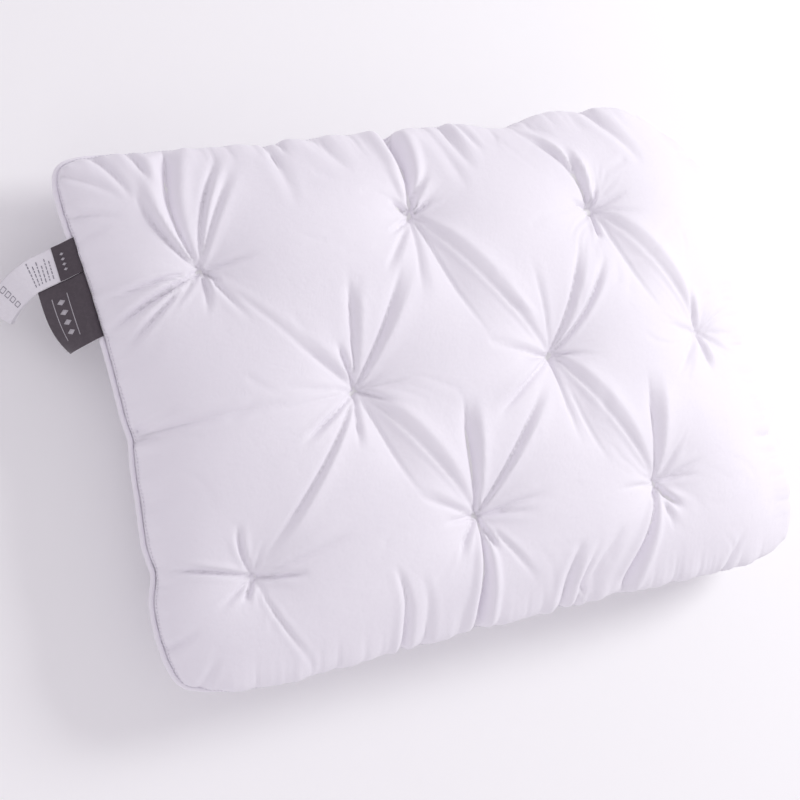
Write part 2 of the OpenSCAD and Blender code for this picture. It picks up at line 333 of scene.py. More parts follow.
def pleat(x, y, start, end, bow):
    """A sharp crest between two pinches: a wedge-shaped face below it, and a rising band above.

    The face lies on the crest's right and the band on its left, seen from start to end.
    """
    u, v = along_and_across(x, y, start, end[0] - start[0], end[1] - start[1], bow)
    inside = np.clip(u, 0, 1)
    within = (u > 0) & (u < 1)
    length = math.hypot(end[0] - start[0], end[1] - start[1])

    wedge = PINCH_WIDTH + WEDGE_SPREAD * length * 0.7 * np.tanh(inside / 0.7)
    ending = np.cos(np.clip((inside - 0.25) / 0.5, 0, 1) * math.pi / 2) ** 2
    drop = np.minimum(0.3 * wedge, 7.5) * ending
    below = np.where(v < -wedge, np.exp(np.minimum(v + wedge, 0) / 15), np.clip(-v / wedge, 0, 1))

    band = CREST_WIDTH + 14 * np.sin(math.pi * inside ** 0.7) ** 0.9
    rise = np.clip(5 * inside, 0, 1) ** 0.7 * np.clip(3 * (1 - inside), 0, 1)
    crest = 1.2 * np.exp(np.minimum(v, 0) / 3) * np.clip(1 - v / CREST_WIDTH, 0, 1)
    across = np.clip((v - CREST_WIDTH) / np.maximum(band - CREST_WIDTH, 0.5), 0, 1)
    above = 5.6 * across * np.exp(-np.maximum(v - band, 0) / 14)
    return within * (rise * (crest + above) - drop * below)


def knot_creases(x, y, pinches, seed):
    """Fine creases that run a short way out from each knot."""
    rng = np.random.default_rng(seed)
    h = np.zeros_like(x)
    for pinch in pinches:
        for k in range(11):
            angle = (k + rng.uniform(-0.35, 0.35)) * 2 * math.pi / 11
            reach = rng.uniform(14, 34)
            h += pinch_fold(x, y, pinch, *polar(reach, angle), rng.uniform(-1, 1),
                            2.2, rng.uniform(0.7, 1.5), NEAR)
    return h


def stray_wrinkles(x, y, pinches, count, seed):
    """Faint short creases, mostly pointing at the nearest pinch."""
    rng = np.random.default_rng(seed)
    h = np.zeros_like(x)
    for _ in range(count):
        px, py = rng.uniform(-0.9, 0.9) * HALF_L, rng.uniform(-0.88, 0.88) * HALF_W
        near = min(pinches, key=lambda p: math.hypot(p[0] - px, p[1] - py))
        angle = math.atan2(near[1] - py, near[0] - px) + rng.normal(0, 0.35)
        reach = rng.uniform(18, 48)
        h += seam_fold(x, y, px, py, *polar(reach, angle), rng.uniform(-4, 4),
                       rng.uniform(2.5, 5), rng.uniform(0.25, 0.8))
    return h


NARROW_BOOST = 1.5  # narrow folds are drawn this much deeper than the table says


def front_folds(x, y):
    h = np.zeros_like(x)
    for pinch, folds in zip(FRONT_PINCHES, FOLDS):
        for dx, dy, bow, width, depth, *deepest in folds:
            crisp = NARROW_BOOST if width < STEP_WIDTH else 1.0
            h += pinch_fold(x, y, pinch, dx, dy, bow, width, crisp * depth, *(deepest or [MID]))
    for first, second, bow in PLEATS:
        h += pleat(x, y, FRONT_PINCHES[first], FRONT_PINCHES[second], bow)
    for fold in SEAM_FOLDS:
        h += seam_fold(x, y, *fold)
    return h


def back_folds(x, y):
    """Even stars of folds round the back pinches, with seeded lengths."""
    rng = np.random.default_rng(7)
    h = np.zeros_like(x)
    for pinch in BACK_PINCHES:
        turn = rng.uniform(0, 2 * math.pi)
        for k in range(9):
            angle = turn + (k + rng.uniform(-0.25, 0.25)) * 2 * math.pi / 9
            reach = rng.uniform(30, 85)
            depth = rng.uniform(1.5, 4)
            h += pinch_fold(x, y, pinch, *polar(reach, angle), rng.uniform(-4, 4),
                            rng.uniform(3, 6), depth, NEAR)
    return h


GATHER_WAVES = ((47, 0.9), (27, 0.5), (14.5, 0.22), (8.3, 0.12))  # pitch along the seam, height


def seam_gathers(x, y, s, t, seed):
    """Small puckers that the row of stitches leaves in the cloth beside it."""
    rng = np.random.default_rng(seed)
    run = np.where(1 - np.abs(s) < (1 - np.abs(t)) * HALF_W / HALF_L, y, x)
    inset = np.minimum((1 - np.abs(s)) * HALF_L, (1 - np.abs(t)) * HALF_W)
    wave = np.zeros_like(x)
    for pitch, height in GATHER_WAVES:
        phase = rng.uniform(0, 2 * math.pi)
        drift = rng.uniform(0, 2 * math.pi)
        wave += height * np.sin(2 * math.pi * run / pitch + phase + 1.5 * np.sin(run / 47 + drift))
    return wave * np.exp(-(inset / 20) ** 2) * np.clip(inset / 4, 0, 1)


# ---------------- panels

def grid(columns, rows):
    return np.meshgrid(np.linspace(-1, 1, columns + 1), np.linspace(-1, 1, rows + 1))


def dome(s, t, power, rim_power=0.5):
    return np.clip((1 - np.abs(s) ** power) * (1 - np.abs(t) ** power), 0, 1) ** rim_power


def pulls(x, y, pinches, depth, reach):
    total = np.zeros_like(x)
    for px, py in pinches:
        total += depth * np.exp(-(np.hypot(x - px, y - py) / reach) ** 1.1)
    return total


def normals(points):
    across, up = np.gradient(points, axis=1), np.gradient(points, axis=0)
    n = np.cross(across, up)
    return n / np.maximum(np.linalg.norm(n, axis=-1, keepdims=True), 1e-9)


def edge_fade(s, t, share):
    return np.clip(np.minimum(1 - np.abs(s), (1 - np.abs(t)) * HALF_W / HALF_L) / share, 0, 1)


LINKS = {
    "along": (np.s_[:, :-1], np.s_[:, 1:]),
    "up": (np.s_[:-1], np.s_[1:]),
    "rising": (np.s_[:-1, :-1], np.s_[1:, 1:]),
    "falling": (np.s_[:-1, 1:], np.s_[1:, :-1]),
}


def slack_lengths(points, flat, pinches, at_pinch, at_seam):
    """Length of each cloth link: as drawn, with some spare round the pinches and at the seam."""
    lengths = {}
    for name, (a, b) in LINKS.items():
        d = points[b] - points[a]
        x, y = ((flat[a] + flat[b]) / 2)[..., :2].transpose(2, 0, 1)
        square = (d ** 2).sum(-1)
        for px, py in pinches:
            rx, ry = x - px, y - py
            r = np.hypot(rx, ry) + 1e-6
            spare = at_pinch * np.exp(-(r / 55) ** 1.5)
            square = square + ((1 + spare) ** 2 - 1) * ((rx * d[..., 1] - ry * d[..., 0]) / r) ** 2
        beside_y = at_seam * np.exp(-((HALF_L - np.abs(x)) / 28) ** 2)
        beside_x = at_seam * np.exp(-((HALF_W - np.abs(y)) / 28) ** 2)
        square = square + ((1 + beside_x) ** 2 - 1) * d[..., 0] ** 2
        square = square + ((1 + beside_y) ** 2 - 1) * d[..., 1] ** 2
        lengths[name] = np.sqrt(square)[..., None].astype(np.float32)
    return lengths


LINK_SHARE = 0.45  # how much of a link's error each of its ends makes up in one pass


def pull_links(a, b, length):
    d = b - a
    now = np.sqrt(np.einsum("...i,...i->...", d, d))[..., None]
    step = LINK_SHARE * (1 - length / np.maximum(now, 1e-6)) * d
    a += step
    b -= step


def pull_all(cloth, lengths):
    """One pass over the cloth's links, in sets that share no point."""
    for odd in (0, 1):
        a, b = cloth[:, odd:-1:2], cloth[:, odd + 1::2]
        pull_links(a[:, :b.shape[1]], b, lengths["along"][:, odd::2])
        a, b = cloth[odd:-1:2], cloth[odd + 1::2]
        pull_links(a[:b.shape[0]], b, lengths["up"][odd::2])
    for odd in (0, 1):
        a, b = cloth[:-1, odd:-1:2], cloth[1:, odd + 1::2]
        pull_links(a[:, :b.shape[1]], b, lengths["rising"][:, odd::2])
        a, b = cloth[:-1, odd + 1::2], cloth[1:, odd:-1:2]
        pull_links(a, b[:, :a.shape[1]], lengths["falling"][:, odd::2])


def laplacian(points):
    out = np.zeros_like(points)
    beside = points[1:-1, :-2] + points[1:-1, 2:] + points[:-2, 1:-1] + points[2:, 1:-1]
    out[1:-1, 1:-1] = beside / 4 - points[1:-1, 1:-1]
    return out


SETTLE_STEPS = 60
DAMPING = 0.9  # what is left of the cloth's speed after each step
TACK_R = 2.0  # cloth this near a pinch is sewn down


def settle(drawn, flat, pinches, pressure, hold, stiffness, at_pinch, at_seam, floor=None):
    """Lets the drawn cloth swell under the filling's pressure, sewn down at its rim and its pinches."""
    lengths = slack_lengths(drawn, flat, pinches, at_pinch, at_seam)
    target = drawn.astype(np.float32)
    cloth, speed = target.copy(), np.zeros_like(target)
    sewn = np.zeros(cloth.shape[:2], bool)
    sewn[0] = sewn[-1] = sewn[:, 0] = sewn[:, -1] = True
    for px, py in pinches:
        sewn |= np.hypot(flat[..., 0] - px, flat[..., 1] - py) < TACK_R
    kept = cloth[sewn].copy()
    for _ in range(SETTLE_STEPS):
        speed = DAMPING * speed + pressure * normals(cloth).astype(np.float32)
        moved = cloth + speed
        moved += hold * (target - moved)
        moved -= stiffness * laplacian(laplacian(moved))
        moved[sewn] = kept
        pull_all(moved, lengths)
        moved[sewn] = kept
        if floor is not None:
            moved[..., 2] = np.maximum(moved[..., 2], floor)
        speed, cloth = moved - cloth, moved
    return cloth.astype(float)


SEAM_LIFT = 1.5  # each panel's rim lies this far above or below the seam
DOME_POWER = 3.2  # how square the dome is: 2 is round
FOLD_SCALE = 1.1


def front_panel(columns, rows):
    s, t = grid(columns, rows)
    x, y = plan(s, t)
    swell = dome(s, t, DOME_POWER, 0.58) * (CROWN - pulls(x, y, FRONT_PINCHES, depth=30, reach=40))
    z = seam_height(x, y) + SEAM_LIFT + swell
    z -= pulls(x, y, [seam_tack[:2]], depth=13, reach=13) * edge_fade(s, t, 0.03)
    dx, dy = overhang(s, t)
    flat = np.stack([x + dx, y + dy, z], -1)
    height = FOLD_SCALE * front_folds(x, y) * edge_fade(s, t, 0.02)
    height = height + seam_gathers(x, y, s, t, seed=3)
    strays = stray_wrinkles(x, y, FRONT_PINCHES, count=70, seed=21)
    height += strays + knot_creases(x, y, FRONT_PINCHES, seed=4)
    drawn = flat + normals(flat) * height[..., None]
    return settle(drawn, flat, FRONT_PINCHES, pressure=0.03, hold=0.015, stiffness=0.015,
                  at_pinch=0.03, at_seam=0.04)


def back_panel(columns, rows):
    """Rows run the same way as the front's, so this panel's own normal points into the pillow."""
    s, t = grid(columns, rows)
    x, y = plan(s, t)
    depth = dome(s, t, DOME_POWER) * (SEAM_Z + 7 - pulls(x, y, BACK_PINCHES, depth=15, reach=34))
    dx, dy = overhang(s, t)
    flat = np.stack([x + 0.6 * dx, y + 0.6 * dy, seam_height(x, y) - SEAM_LIFT - depth], -1)
    height = back_folds(x, y) * edge_fade(s, t, 0.03) + seam_gathers(x, y, s, t, seed=5)
    drawn = flat - normals(flat) * height[..., None]
    drawn[..., 2] = np.maximum(drawn[..., 2], 0)
    return settle(drawn, flat, BACK_PINCHES, pressure=-0.04, hold=0.01, stiffness=0.05,
                  at_pinch=0.05, at_seam=0.04, floor=0)


# ---------------- mesh helpers

def make_mesh(name, points, faces):
    mesh = bpy.data.meshes.new(name)
    mesh.from_pydata([tuple(p) for p in np.asarray(points) * MM], [], faces)
    mesh.validate()
    mesh.update()
    mesh.polygons.foreach_set("use_smooth", [True] * len(mesh.polygons))
    return add_object(name, mesh)


def grid_faces(columns, rows, first, upward):
    i, j = np.meshgrid(np.arange(columns), np.arange(rows))
    a = first + j * (columns + 1) + i
    quads = np.stack([a, a + 1, a + columns + 2, a + columns + 1], -1).reshape(-1, 4)
    return (quads if upward else quads[:, ::-1]).tolist()


def rim(columns, rows):
    """Indices round a grid's edge, anticlockwise from above."""
    wide, last = columns + 1, rows * (columns + 1)
    return (
        list(range(columns))
        + [j * wide + columns for j in range(rows)]
        + [last + i for i in range(columns, 0, -1)]
        + [j * wide for j in range(rows, 0, -1)]
    )


def shell_between(name, upper, lower):
    """A closed solid between two panels that have the same grid, or a lower one with half the cells."""
    rows, columns = upper.shape[0] - 1, upper.shape[1] - 1
    low_rows, low_columns = lower.shape[0] - 1, lower.shape[1] - 1
    count = upper.shape[0] * upper.shape[1]
    faces = grid_faces(columns, rows, 0, True) + grid_faces(low_columns, low_rows, count, False)
    top, bottom = rim(columns, rows), [count + k for k in rim(low_columns, low_rows)]
    ratio = len(top) // len(bottom)
    for k, a in enumerate(bottom):
        b = bottom[(k + 1) % len(bottom)]
        ring = [top[(k * ratio + m) % len(top)] for m in range(ratio + 1)]
        if ratio == 1:
            faces.append([ring[0], a, b, ring[1]])
        else:
            faces += [[ring[0], a, ring[1]], [ring[1], a, b], [ring[1], b, ring[2]]]
    return make_mesh(name, np.concatenate([upper.reshape(-1, 3), lower.reshape(-1, 3)]), faces)


def smoothed(points, passes):
    out = points.copy()
    for _ in range(passes):
        out += 0.8 * laplacian(out)
    return out


def finish_piece(piece, body, slot_name, material, *stands_for):
    piece.data.materials.append(material)
    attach(piece, body)
    if stands_for:
        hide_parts(*stands_for)
    return piece


# ---------------- runs along the seam

def rim_line(panel):
    rows, columns = panel.shape[0] - 1, panel.shape[1] - 1
    return panel.reshape(-1, 3)[rim(columns, rows)]


def resampled(loop, spacing):
    """A closed line with even spacing, and how far along it each point is."""
    closed = np.vstack([loop, loop[:1]])
    run = np.concatenate([[0], np.cumsum(np.linalg.norm(np.diff(closed, axis=0), axis=1))])
    count = int(round(run[-1] / spacing))
    at = np.arange(count) * run[-1] / count
    return np.stack([np.interp(at, run, closed[:, k]) for k in range(3)], -1), at


def rounded(loop, passes):
    out = loop.copy()
    for _ in range(passes):
        out += 0.5 * ((np.roll(out, 1, 0) + np.roll(out, -1, 0)) / 2 - out)
    return out


def outward(loop):
    d = np.roll(loop, -1, 0) - np.roll(loop, 1, 0)
    n = np.stack([d[:, 1], -d[:, 0], np.zeros(len(d))], -1)
    return n / np.linalg.norm(n, axis=1, keepdims=True)


def ring_quads(count, sides, joined):
    """Quads between rings of points. joined also closes the last ring onto the first."""
    quads = []
    for k in range(count if joined else count - 1):
        here, there = k * sides, (k + 1) % count * sides
        for m in range(sides):
            beside = (m + 1) % sides
            quads.append([here + m, here + beside, there + beside, there + m])
    return quads


def tube(name, line, radius, sides):
    """A closed tube along a level loop, its rings upright. radius may differ from point to point."""
    out = outward(line)
    angles = np.arange(sides) * 2 * math.pi / sides
    radius = np.broadcast_to(radius, (len(line), sides))
    ring = np.cos(angles)[None, :, None] * out[:, None]
    ring = ring + np.sin(angles)[None, :, None] * np.array([0, 0, 1.0])
    points = (line[:, None] + radius[..., None] * ring).reshape(-1, 3)
    return make_mesh(name, points, ring_quads(len(line), sides, joined=True))


# A stitch's rings: how far along, how thick, how high
STITCH_RINGS = ((0.0, 0.35, -0.5), (0.12, 0.85, 0.4), (0.5, 1.0, 1.0),
                (0.88, 0.85, 0.4), (1.0, 0.35, -0.5))
STITCH_SIDES = 6


def stitch(start, end, radius, side, lift=0.5):
    """A short length of thread that bows up in the middle, as (points, faces)."""
    d = end - start
    u = d / np.linalg.norm(d)
    a = side - u * (side @ u)
    a /= np.linalg.norm(a)
    b = np.cross(u, a)
    points = []
    for share, thick, rise in STITCH_RINGS:
        centre = start + d * share + a * lift * rise * radius
        for m in range(STITCH_SIDES):
            angle = 2 * math.pi * m / STITCH_SIDES
            points.append(centre + radius * thick * (math.cos(angle) * a + math.sin(angle) * b))
    last = (len(STITCH_RINGS) - 1) * STITCH_SIDES
    ends = [list(range(STITCH_SIDES))[::-1], [last + m for m in range(STITCH_SIDES)]]
    return points, ring_quads(len(STITCH_RINGS), STITCH_SIDES, joined=False) + ends


def join_bits(name, bits):
    points, faces = [], []
    for bit_points, bit_faces in bits:
        first = len(points)
        points += list(bit_points)
        faces += [[first + i for i in f] for f in bit_faces]
    return make_mesh(name, points, faces)


# ---------------- materials

def material(name, color, roughness, sheen=0.0):
    m = bpy.data.materials.new(name)
    m.use_nodes = True
    shader = m.node_tree.nodes["Principled BSDF"]
    shader.inputs["Base Color"].default_value = (*color, 1)
    shader.inputs["Roughness"].default_value = roughness
    shader.inputs["Sheen Weight"].default_value = sheen
    shader.inputs["Sheen Roughness"].default_value = 0.4
    return m, m.node_tree, shader


def link(tree, a, b):
    tree.links.new(a, b)


def node(tree, kind, **values):
    n = tree.nodes.new(kind)
    for key, value in values.items():
        if key in n.inputs:
            n.inputs[key].default_value = value
        else:
            setattr(n, key, value)
    return n


def object_coords(tree, turn=(0, 0, 0)):
    coords = tree.nodes.new("ShaderNodeTexCoord")
    mapping = tree.nodes.new("ShaderNodeMapping")
    mapping.inputs["Rotation"].default_value = turn
    link(tree, coords.outputs["Object"], mapping.inputs["Vector"])
    return mapping.outputs["Vector"]


def noise(tree, vector, scale, detail):
    n = node(tree, "ShaderNodeTexNoise", Scale=scale, Detail=detail)
    link(tree, vector, n.inputs["Vector"])
    return n.outputs["Fac"]


def thread_wave(tree, vector, direction, pitch):
    """Parallel threads at a pitch in metres, as a height from 0 to 1."""
    n = node(tree, "ShaderNodeTexWave", Scale=math.pi / (10 * pitch) * 2, wave_type="BANDS",
             bands_direction=direction)
    n.inputs["Distortion"].default_value = 0.6
    n.inputs["Detail"].default_value = 1.0
    n.inputs["Detail Scale"].default_value = 0.4
    link(tree, vector, n.inputs["Vector"])
    return n.outputs["Fac"]


def maths(tree, operation, a, b):
    n = node(tree, "ShaderNodeMath", operation=operation)
    for k, value in enumerate((a, b)):
        if isinstance(value, (int, float)):
            n.inputs[k].default_value = value
        else:
            link(tree, value, n.inputs[k])
    return n.outputs[0]


def add_bumps(tree, shader, layers):
    """Each layer is (height, strength, distance in metres)."""
    last = None
    for height, strength, distance in layers:
        n = node(tree, "ShaderNodeBump", Strength=strength, Distance=distance)
        link(tree, height, n.inputs["Height"])
        if last is not None:
            link(tree, last, n.inputs["Normal"])
        last = n.outputs["Normal"]
    link(tree, last, shader.inputs["Normal"])


def vary_color(tree, shader, fac, low, high):
    ramp = tree.nodes.new("ShaderNodeValToRGB")
    ramp.color_ramp.elements[0].position, ramp.color_ramp.elements[1].position = 0.3, 0.7
    ramp.color_ramp.elements[0].color = (*low, 1)
    ramp.color_ramp.elements[1].color = (*high, 1)
    link(tree, fac, ramp.inputs["Fac"])
    link(tree, ramp.outputs["Color"], shader.inputs["Base Color"])


def plain_weave(name, low, high, pitch, turn=0.0, sheen=0.25, wrinkle=0.35):
    m, tree, shader = material(name, high, 0.62, sheen)
    vector = object_coords(tree, (0, 0, turn))
    warp, weft = thread_wave(tree, vector, "X", pitch), thread_wave(tree, vector, "Y", pitch)
    weave = maths(tree, "MULTIPLY", warp, weft)
    patch = noise(tree, vector, 9, 4)
    slub = maths(tree, "ADD", maths(tree, "MULTIPLY", patch, 0.75), maths(tree, "MULTIPLY", weave, 0.25))
    vary_color(tree, shader, slub, low, high)
    add_bumps(tree, shader, [
        (noise(tree, vector, 42, 6), wrinkle, 0.0022),
        (noise(tree, vector, 240, 3), 0.3, 0.0006),
        (weave, 0.3, 0.00012),
    ])
    return m


def spun_thread(name, color):
    m, tree, shader = material(name, color, 0.5, 0.3)
    vector = object_coords(tree, (0.6, 0.4, 0.8))
    twist = thread_wave(tree, vector, "X", 0.0004)
    vary_color(tree, shader, twist, tuple(0.9 * c for c in color), color)
    add_bumps(tree, shader, [(twist, 0.5, 0.0002)])
    return m


def loose_fibre(name, color):
    m, tree, shader = material(name, color, 0.95, 0.5)
    vector = object_coords(tree)
    clumps, hair = noise(tree, vector, 40, 6), noise(tree, vector, 700, 4)
    vary_color(tree, shader, clumps, tuple(0.93 * c for c in color), color)
    add_bumps(tree, shader, [(clumps, 0.6, 0.004), (hair, 0.5, 0.0006)])
    return m


def satin_weave(name, color, dark, pitch):
    m, tree, shader = material(name, color, 0.34, 0.2)
    vector = object_coords(tree)
    rib, fine = thread_wave(tree, vector, "Y", pitch), noise(tree, vector, 300, 3)
    vary_color(tree, shader, maths(tree, "MULTIPLY", rib, fine), dark, color)
    add_bumps(tree, shader, [(rib, 0.3, 0.00015), (fine, 0.15, 0.0002)])
    return m


WHITE, SHADE = (0.93, 0.905, 0.955), (0.895, 0.87, 0.925)
casing_cloth = plain_weave("casing_cloth", SHADE, WHITE, 0.00032)
piping_cloth = plain_weave("piping_cloth", SHADE, WHITE, 0.00032, turn=math.pi / 4, wrinkle=0.5)
case_cloth = plain_weave("case_cloth", (0.8, 0.8, 0.78), (0.86, 0.86, 0.84), 0.0006)
cotton_cord = spun_thread("cotton_cord", (0.9, 0.89, 0.85))
sewing_thread = spun_thread("sewing_thread", (0.9, 0.88, 0.94))
fibre_filling = loose_fibre("fibre_filling", (0.95, 0.95, 0.94))
woven_label = satin_weave("woven_label", (0.105, 0.085, 0.1), (0.065, 0.05, 0.062), 0.0006)
label_motif = satin_weave("label_motif", (0.62, 0.6, 0.63), (0.5, 0.48, 0.51), 0.0005)
satin_label = satin_weave("satin_label", (0.9, 0.885, 0.92), (0.82, 0.8, 0.84), 0.0004)
label_print = satin_weave("label_print", (0.33, 0.32, 0.36), (0.25, 0.24, 0.28), 0.0004)


# ---------------- casing, filling and inner case

FRONT_CELLS, BACK_CELLS = (320, 236), (200, 146)  # columns and rows
FILLING_CELLS = {FRONT: (100, 74), BACK: (100, 73)}
CORE_CELLS = (60, 44)
CLOTH_T = 1.2
# Depths below the casing's dome
CORE_DEPTH = 38  # the fibre layers reach down to here
CASE_OUTER, CASE_INNER = 38.3, 39.1
CORE_FILL_DEPTH = 39.6


def cells_from_rim(panel):
    """How many grid cells each point of a panel is from its edge."""
    from_side = [np.minimum(np.arange(n), np.arange(n)[::-1]) for n in panel.shape[1::-1]]
    return np.minimum.reduce(np.meshgrid(*from_side))


def inset_panel(panel, distance, side, passes=2):
    """A panel moved into the pillow by a distance, except along its rim."""
    inner = smoothed(panel, passes)
    moved = inner - side * normals(inner) * distance
    fade = np.clip(cells_from_rim(panel) / 2, 0, 1)[..., None]
    return moved * fade + panel * (1 - fade)


def casing(name, stands_for, panel, side):
    """The cloth of one panel, with half the grid on its inside."""
    inner = inset_panel(panel, CLOTH_T, side)[::2, ::2].copy()
    inner[..., :2] *= 1 - 1.5 * CLOTH_T / HALF_L
    piece = shell_between(name, panel, inner)
    if side == BACK:
        piece.data.flip_normals()
    finish_piece(piece, "pillow", "casing_cloth", casing_cloth, stands_for)


front = front_panel(*FRONT_CELLS)
back = back_panel(*BACK_CELLS)
casing("front_casing", "front_cover", front, FRONT)
casing("back_casing", "back_cover", back, BACK)


def core_panel(side, columns, rows, depth):
    """The inner case's panels: a smooth dome that stays well inside the pinches."""
    s, t = grid(columns, rows)
    x, y = plan(s, t)
    shrink = 1 - 2 * depth / (HALF_L + HALF_W)
    high = (CROWN if side == FRONT else SEAM_Z) - depth
    level = seam_height(x, y) + side * 0.6
    return np.stack([x * shrink, y * shrink, level + side * dome(s, t, DOME_POWER) * high], -1)


def layer_between(name, outer, inner, side):
    return shell_between(name, outer, inner) if side == FRONT else shell_between(name, inner, outer)


def sampled(panel, cells):
    """A panel with fewer rows and columns, picked from its own."""
    sizes = zip(cells, panel.shape[1::-1])
    columns, rows = (np.round(np.arange(n + 1) * (size - 1) / n).astype(int) for n, size in sizes)
    return panel[rows][:, columns]


def filling(name, stands_for, panel, side):
    """A fibre layer between the casing and the inner case."""
    cells = FILLING_CELLS[side]
    outer = sampled(inset_panel(smoothed(panel, 6), 3.2, side, 4), cells)
    outer[..., :2] *= 1 - 4 / HALF_L
    core = core_panel(side, *cells, CORE_DEPTH)
    outer[..., 2] = side * np.maximum(side * outer[..., 2], side * core[..., 2] + 1)
    piece = layer_between(name, outer, core, side)
    return finish_piece(piece, "pillow", "fibre_filling", fibre_filling, stands_for)


front_filling = filling("front_fibre_layer", "front_filling", front, FRONT)
back_filling = filling("back_fibre_layer", "back_filling", back, BACK)


def core_case(name, stands_for, side):
    outer = core_panel(side, *CORE_CELLS, CASE_OUTER)
    inner = core_panel(side, *CORE_CELLS, CASE_INNER)
    piece = layer_between(name, outer, inner, side)
    return finish_piece(piece, "pillow", "case_cloth", case_cloth, stands_for)


core_case("inner_case_front_panel", "core_case_front", FRONT)
core_case("inner_case_back_panel", "core_case_back", BACK)

core = shell_between("inner_case_fibre", core_panel(FRONT, *CORE_CELLS, CORE_FILL_DEPTH),
                     core_panel(BACK, *CORE_CELLS, CORE_FILL_DEPTH))
finish_piece(core, "pillow", "fibre_filling", fibre_filling, "core_filling")


# ---------------- piping and stitches

edge, edge_run = resampled(rim_line(front), 2.5)
edge = rounded(edge, 6)
edge[:, 2] -= SEAM_LIFT
edge_out = outward(edge)
pipe_line = edge + edge_out * (PIPE_R - 1.0)


def piping():
    """Bias strip round the cord: slightly gathered, with a twist in its puckers."""
    sides = 20
    angles = np.arange(sides) * 2 * math.pi / sides
    twist = np.sin(edge_run[:, None] * 0.9 + 2 * angles) * 0.06
    twist = twist + np.sin(edge_run[:, None] * 0.37 - angles) * 0.05
    flattened = 1 - 0.05 * np.cos(2 * angles)[None]
    piece = tube("piping_strip", pipe_line, PIPE_R * (1 + twist * 0.7) * flattened, sides)
    return finish_piece(piece, "pillow", "piping_cloth", piping_cloth, "piping_cover")


piping()
cord = tube("piping_inner_cord", pipe_line, PIPE_R - 0.9, 10)
finish_piece(cord, "pillow", "cotton_cord", cotton_cord, "piping_cord")


STITCH_GAP = 1.0  # between one stitch and the next
LINE_SPACING = 0.5  # of the points that the stitch line is worked out from
CLOSING_HALF = 105  # half the length of the stretch that is closed by hand


def seam_stitches(name, stands_for, panel, side, closing=False, pitch=3.6, slant=0.0):
    """A row of stitches on a panel, just inside the piping."""
    line, _ = resampled(rim_line(panel[1:-1, 1:-1]), LINE_SPACING)
    line = rounded(line, 20)
    out = outward(line)
    height = side * 0.25
    per = int(round(pitch / LINE_SPACING))
    used = int(round((pitch - STITCH_GAP) / LINE_SPACING))
    bits = []
    for k in range(0, len(line) - per, per):
        if closing and (line[k][1] >= 0 or abs(line[k][0]) >= CLOSING_HALF):
            continue
        start = line[k] + out[k] * (0.5 + slant) + np.array([0, 0, height])
        end = line[k + used] + out[k + used] * (0.5 - slant) + np.array([0, 0, height])
        bits.append(stitch(start, end, 0.38, 0.6 * out[k] + np.array([0, 0, side])))
    piece = join_bits(name, bits)
    return finish_piece(piece, "pillow", "sewing_thread", sewing_thread, stands_for)


seam_stitches("seam_stitches", "seam_thread", front, FRONT)
seam_stitches("closing_stitches", "closing_thread", back, BACK, closing=True, pitch=4.0, slant=0.8)


def nearest_point(panel, x, y):
    d = (panel[..., 0] - x) ** 2 + (panel[..., 1] - y) ** 2
    j, i = np.unravel_index(np.argmin(d), d.shape)
    return panel[j, i]


def tacks(name, stands_for, places, side):
    """Three turns of thread over each pinch, pulled into a small knot."""
    rng = np.random.default_rng(11)
    bits = []
    for place in places:
        lean = rng.uniform(-0.35, 0.35)
        for offset in (-0.8, 0.0, 0.8):
            turn = math.pi / 2 + lean + offset * 0.25
            along = np.array([math.cos(turn), math.sin(turn), 0]) * rng.uniform(1.5, 2.0)
            middle = place + np.array([0.6 * offset, 0, side * 0.3])
            bits.append(stitch(middle - along, middle + along, 0.34, np.array([0, 0, float(side)]), 1.2))
    piece = join_bits(name, bits)
    return finish_piece(piece, "pillow", "sewing_thread", sewing_thread, stands_for)


front_places = [nearest_point(front, *p) for p in FRONT_PINCHES]
front_places.append(nearest_point(front, seam_tack[0], seam_tack[1]))
tacks("front_tacks", "front_tack_threads", front_places, FRONT)
tacks("back_tacks", "back_tack_threads", [nearest_point(back, *p) for p in BACK_PINCHES], BACK)


# ---------------- labels

hinge = frame["joints"][0]         # both labels turn about the same line
HINGE = np.array(hinge["pos_m"]) / MM
ALONG = np.array(hinge["axis"], float)
ALONG /= np.linalg.norm(ALONG)
OUT = np.array([-ALONG[1], ALONG[0], 0.0])
UP = np.array([0, 0, 1.0])
BRAND_L, BRAND_OUT = 60.0, 36.0
CARE_W, CARE_L = 31.0, 78.0
LEAN = math.radians(10)  # both labels lean towards the middle of the seam
ROOT = -8.2  # a label's sewn edge, in the groove behind the piping, from the hinge line
PIPE_START, PIPE_SPAN = -5.5, 12  # where a label starts to come down off the piping, and over how far
PIPE_LIFT = 4.9
BRAND_T, CARE_T, HEAD_T = 0.7, 0.35, 0.5
DROOP_STEPS = 24


def over_piping(out):
    """How far a label rides up where it passes over the piping, which it is sewn down behind."""
    k = min(max((out - PIPE_START) / PIPE_SPAN, 0), 1)
    return PIPE_LIFT * (1 - k * k * (3 - 2 * k)) - 0.3 * max(0.0, PIPE_START - out)


def label_place(out, across, droop_start, droop_end, reach):
    """Where a label's point goes: out from the hinge, drooping more and more, with a lean."""
    k = max(0.0, out) / reach
    a0, a1 = math.radians(droop_start), math.radians(droop_end)
    shares = (np.arange(DROOP_STEPS) + 0.5) / DROOP_STEPS * out
    angles = a0 * (out > 0) + (a1 - a0) * np.maximum(shares, 0) / reach
    run, drop = np.cos(angles).mean() * out, np.sin(angles).mean() * out
    angle = a0 + (a1 - a0) * k
    point = HINGE + OUT * run * math.cos(LEAN) + ALONG * (across - run * math.sin(LEAN)) - UP * drop
    point = point + UP * over_piping(out)
    normal = UP * math.cos(angle) + (OUT * math.cos(LEAN) - ALONG * math.sin(LEAN)) * math.sin(angle)
    return point, normal


